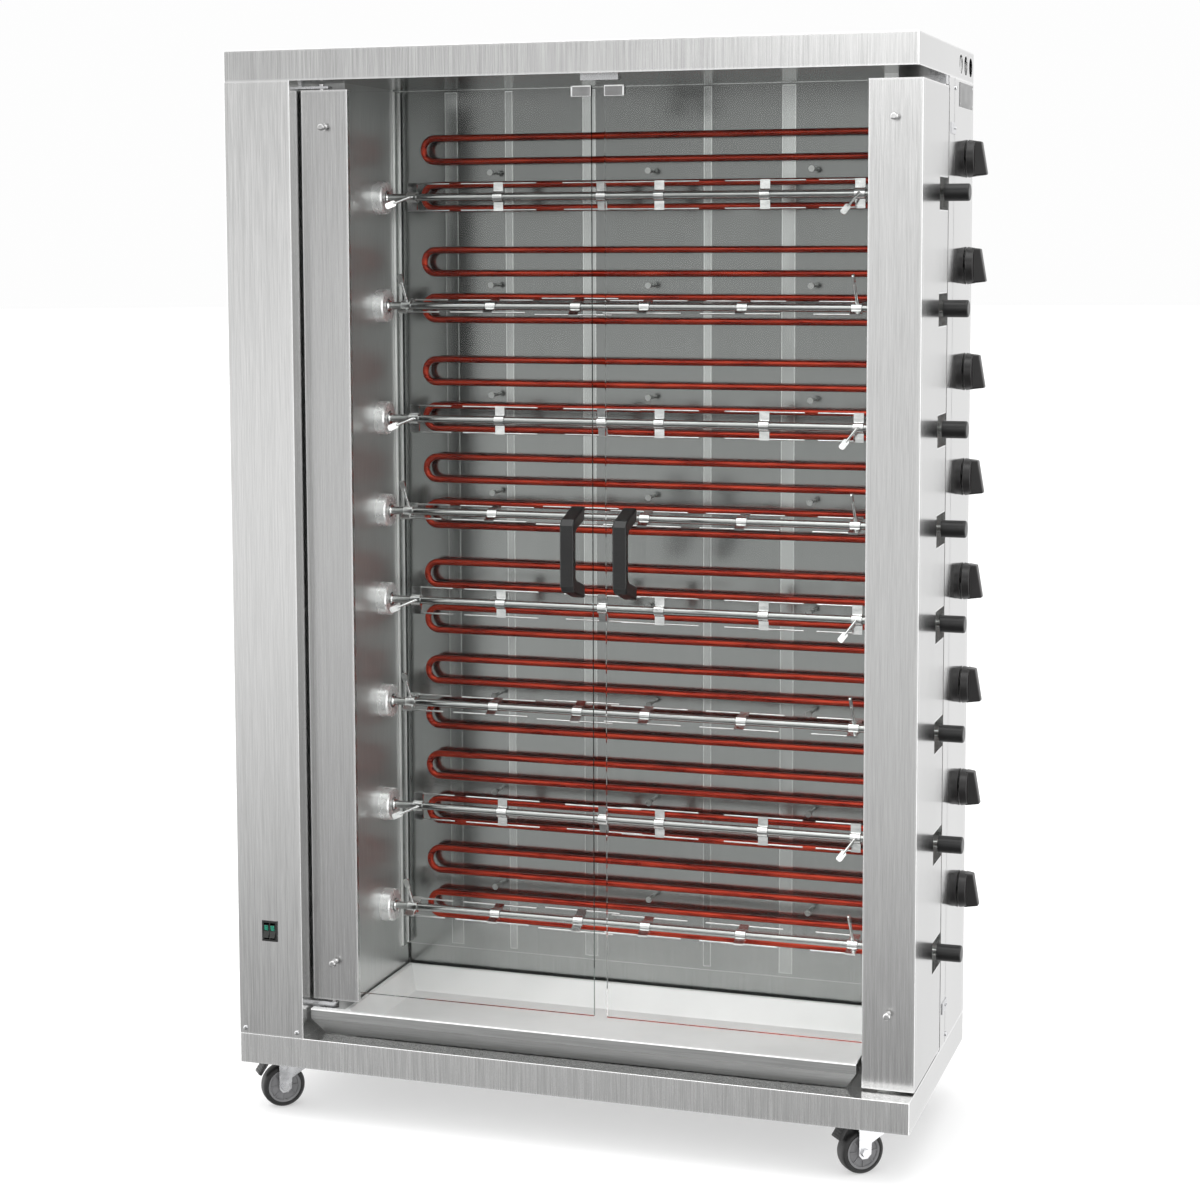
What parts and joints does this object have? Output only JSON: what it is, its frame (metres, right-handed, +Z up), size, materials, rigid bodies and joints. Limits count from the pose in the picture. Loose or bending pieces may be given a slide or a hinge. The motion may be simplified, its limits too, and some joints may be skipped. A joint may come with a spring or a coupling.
{
  "type": "rotisserie oven",
  "caption": "Free-standing electric chicken rotisserie: stainless cabinet on castors, glass double doors, horizontal spits with forks, red tubular heaters, side knobs, drip tray.",
  "frame": {"origin": "on the floor, at the centre of the overall bounding box seen from above", "axes": "+X to the right seen from the front, the doors face -Y, +Z up"},
  "size_m": [1.29, 0.542, 1.94],
  "materials": {
    "brushed_stainless": "brushed",
    "satin_stainless": "satin",
    "polished_stainless": "polished",
    "element_red": "satin",
    "chrome": "polished",
    "spit_steel": "polished",
    "motor_housing": "satin",
    "regulator_plastic": "matte",
    "switch_black": "satin",
    "rocker_plastic": "gloss",
    "zinc_steel": "satin",
    "clear_glass": "polished",
    "black_plastic": "satin",
    "knob_plastic": "satin",
    "castor_rubber": "matte"
  },
  "bodies": {
    "cabinet": {"plinth": "brushed_stainless", "top_hood": "brushed_stainless", "left_front_panel": "brushed_stainless", "left_side_panel": "brushed_stainless", "left_inner_wall": "satin_stainless", "right_inner_wall": "satin_stainless", "right_side_panels": "brushed_stainless", "rear_cover": "brushed_stainless", "back_wall": "polished_stainless", "heating_elements": "element_red", "spit_sockets": "chrome", "gearmotors": "motor_housing", "regulators": "regulator_plastic", "switch_housing": "switch_black", "door_hardware": "zinc_steel", "fasteners": "zinc_steel", "castor_plates": "zinc_steel"},
    "left_door": {"left_door_stile": "brushed_stainless", "left_door_glass": "clear_glass", "left_door_handle": "black_plastic"},
    "right_door": {"right_door_column": "brushed_stainless", "right_door_glass": "clear_glass", "right_door_handle": "black_plastic"},
    "tray": {"drip_tray": "satin_stainless"},
    "spit_1_set": {"spit_1": "spit_steel", "spit_grip_1": "black_plastic"},
    "knob_1_dial": {"knob_1": "knob_plastic"},
    "spit_2_set": {"spit_2": "spit_steel", "spit_grip_2": "black_plastic"},
    "knob_2_dial": {"knob_2": "knob_plastic"},
    "spit_3_set": {"spit_3": "spit_steel", "spit_grip_3": "black_plastic"},
    "knob_3_dial": {"knob_3": "knob_plastic"},
    "spit_4_set": {"spit_4": "spit_steel", "spit_grip_4": "black_plastic"},
    "knob_4_dial": {"knob_4": "knob_plastic"},
    "spit_5_set": {"spit_5": "spit_steel", "spit_grip_5": "black_plastic"},
    "knob_5_dial": {"knob_5": "knob_plastic"},
    "spit_6_set": {"spit_6": "spit_steel", "spit_grip_6": "black_plastic"},
    "knob_6_dial": {"knob_6": "knob_plastic"},
    "spit_7_set": {"spit_7": "spit_steel", "spit_grip_7": "black_plastic"},
    "knob_7_dial": {"knob_7": "knob_plastic"},
    "spit_8_set": {"spit_8": "spit_steel", "spit_grip_8": "black_plastic"},
    "knob_8_dial": {"knob_8": "knob_plastic"},
    "rocker_left_key": {"rocker_left": "rocker_plastic"},
    "rocker_right_key": {"rocker_right": "rocker_plastic"},
    "castor_fl": {"castor_fork_fl": "zinc_steel"},
    "wheel_fl": {"castor_wheel_fl": "castor_rubber"},
    "castor_fr": {"castor_fork_fr": "zinc_steel"},
    "wheel_fr": {"castor_wheel_fr": "castor_rubber"},
    "castor_rl": {"castor_fork_rl": "zinc_steel"},
    "wheel_rl": {"castor_wheel_rl": "castor_rubber"},
    "castor_rr": {"castor_fork_rr": "zinc_steel"},
    "wheel_rr": {"castor_wheel_rr": "castor_rubber"},
    "pedal_fl": {"brake_pedal_fl": "zinc_steel"},
    "pedal_fr": {"brake_pedal_fr": "zinc_steel"}
  },
  "joints": [
    {"name": "left_door_swing", "type": "hinge", "parent": "cabinet", "child": "left_door", "pos_m": [-0.48, -0.204, 0.22], "axis": [0, 0, -1], "range_deg": [0, 105]},
    {"name": "right_door_swing", "type": "hinge", "parent": "cabinet", "child": "right_door", "pos_m": [0.591, 0.017, 0.159], "axis": [0, 0, 1], "range_deg": [0, 95]},
    {"name": "tray_slide", "type": "slide", "parent": "cabinet", "child": "tray", "axis": [0, -1, 0], "range_m": [0, 0.3]},
    {"name": "spit_1_spin", "type": "hinge", "parent": "cabinet", "child": "spit_1_set", "pos_m": [-0.435, -0.017, 1.684], "axis": [-1, 0, 0], "continuous": true},
    {"name": "spit_2_spin", "type": "hinge", "parent": "cabinet", "child": "spit_2_set", "pos_m": [-0.435, -0.017, 1.485], "axis": [-1, 0, 0], "continuous": true},
    {"name": "spit_3_spin", "type": "hinge", "parent": "cabinet", "child": "spit_3_set", "pos_m": [-0.435, -0.017, 1.276], "axis": [-1, 0, 0], "continuous": true},
    {"name": "spit_4_spin", "type": "hinge", "parent": "cabinet", "child": "spit_4_set", "pos_m": [-0.435, -0.017, 1.103], "axis": [-1, 0, 0], "continuous": true},
    {"name": "spit_5_spin", "type": "hinge", "parent": "cabinet", "child": "spit_5_set", "pos_m": [-0.435, -0.017, 0.936], "axis": [-1, 0, 0], "continuous": true},
    {"name": "spit_6_spin", "type": "hinge", "parent": "cabinet", "child": "spit_6_set", "pos_m": [-0.435, -0.017, 0.742], "axis": [-1, 0, 0], "continuous": true},
    {"name": "spit_7_spin", "type": "hinge", "parent": "cabinet", "child": "spit_7_set", "pos_m": [-0.435, -0.017, 0.544], "axis": [-1, 0, 0], "continuous": true},
    {"name": "spit_8_spin", "type": "hinge", "parent": "cabinet", "child": "spit_8_set", "pos_m": [-0.435, -0.017, 0.349], "axis": [-1, 0, 0], "continuous": true},
    {"name": "knob_1_turn", "type": "hinge", "parent": "cabinet", "child": "knob_1_dial", "pos_m": [0.602, 0.221, 1.749], "axis": [-1, 0, 0], "range_deg": [0, 300]},
    {"name": "knob_2_turn", "type": "hinge", "parent": "cabinet", "child": "knob_2_dial", "pos_m": [0.602, 0.221, 1.5567], "axis": [-1, 0, 0], "range_deg": [0, 300]},
    {"name": "knob_3_turn", "type": "hinge", "parent": "cabinet", "child": "knob_3_dial", "pos_m": [0.602, 0.221, 1.3644], "axis": [-1, 0, 0], "range_deg": [0, 300]},
    {"name": "knob_4_turn", "type": "hinge", "parent": "cabinet", "child": "knob_4_dial", "pos_m": [0.602, 0.221, 1.1721], "axis": [-1, 0, 0], "range_deg": [0, 300]},
    {"name": "knob_5_turn", "type": "hinge", "parent": "cabinet", "child": "knob_5_dial", "pos_m": [0.602, 0.221, 0.9798], "axis": [-1, 0, 0], "range_deg": [0, 300]},
    {"name": "knob_6_turn", "type": "hinge", "parent": "cabinet", "child": "knob_6_dial", "pos_m": [0.602, 0.221, 0.7875], "axis": [-1, 0, 0], "range_deg": [0, 300]},
    {"name": "knob_7_turn", "type": "hinge", "parent": "cabinet", "child": "knob_7_dial", "pos_m": [0.602, 0.221, 0.5952], "axis": [-1, 0, 0], "range_deg": [0, 300]},
    {"name": "knob_8_turn", "type": "hinge", "parent": "cabinet", "child": "knob_8_dial", "pos_m": [0.602, 0.221, 0.4029], "axis": [-1, 0, 0], "range_deg": [0, 300]},
    {"name": "rocker_left_tilt", "type": "hinge", "parent": "cabinet", "child": "rocker_left_key", "pos_m": [-0.5872, -0.249, 0.351], "axis": [1, 0, 0], "range_deg": [0, 10]},
    {"name": "rocker_right_tilt", "type": "hinge", "parent": "cabinet", "child": "rocker_right_key", "pos_m": [-0.5748, -0.249, 0.351], "axis": [1, 0, 0], "range_deg": [0, 10]},
    {"name": "castor_fl_swivel", "type": "hinge", "parent": "cabinet", "child": "castor_fl", "pos_m": [-0.57, -0.171, 0.09], "axis": [0, 0, 1], "continuous": true},
    {"name": "wheel_fl_roll", "type": "hinge", "parent": "castor_fl", "child": "wheel_fl", "pos_m": [-0.59298, -0.19028, 0.04], "axis": [0.6428, -0.766, 0], "continuous": true},
    {"name": "castor_fr_swivel", "type": "hinge", "parent": "cabinet", "child": "castor_fr", "pos_m": [0.525, -0.171, 0.09], "axis": [0, 0, 1], "continuous": true},
    {"name": "wheel_fr_roll", "type": "hinge", "parent": "castor_fr", "child": "wheel_fr", "pos_m": [0.50202, -0.19028, 0.04], "axis": [0.6428, -0.766, 0], "continuous": true},
    {"name": "castor_rl_swivel", "type": "hinge", "parent": "cabinet", "child": "castor_rl", "pos_m": [-0.57, 0.183, 0.09], "axis": [0, 0, 1], "continuous": true},
    {"name": "wheel_rl_roll", "type": "hinge", "parent": "castor_rl", "child": "wheel_rl", "pos_m": [-0.59298, 0.16372, 0.04], "axis": [0.6428, -0.766, 0], "continuous": true},
    {"name": "castor_rr_swivel", "type": "hinge", "parent": "cabinet", "child": "castor_rr", "pos_m": [0.525, 0.183, 0.09], "axis": [0, 0, 1], "continuous": true},
    {"name": "wheel_rr_roll", "type": "hinge", "parent": "castor_rr", "child": "wheel_rr", "pos_m": [0.50202, 0.16372, 0.04], "axis": [0.6428, -0.766, 0], "continuous": true},
    {"name": "pedal_fl_press", "type": "hinge", "parent": "castor_fl", "child": "pedal_fl", "pos_m": [-0.58992, -0.18771, 0.0875], "axis": [0.6428, -0.766, 0], "range_deg": [0, 8]},
    {"name": "pedal_fr_press", "type": "hinge", "parent": "castor_fr", "child": "pedal_fr", "pos_m": [0.50508, -0.18771, 0.0875], "axis": [0.6428, -0.766, 0], "range_deg": [0, 8]}
  ]
}
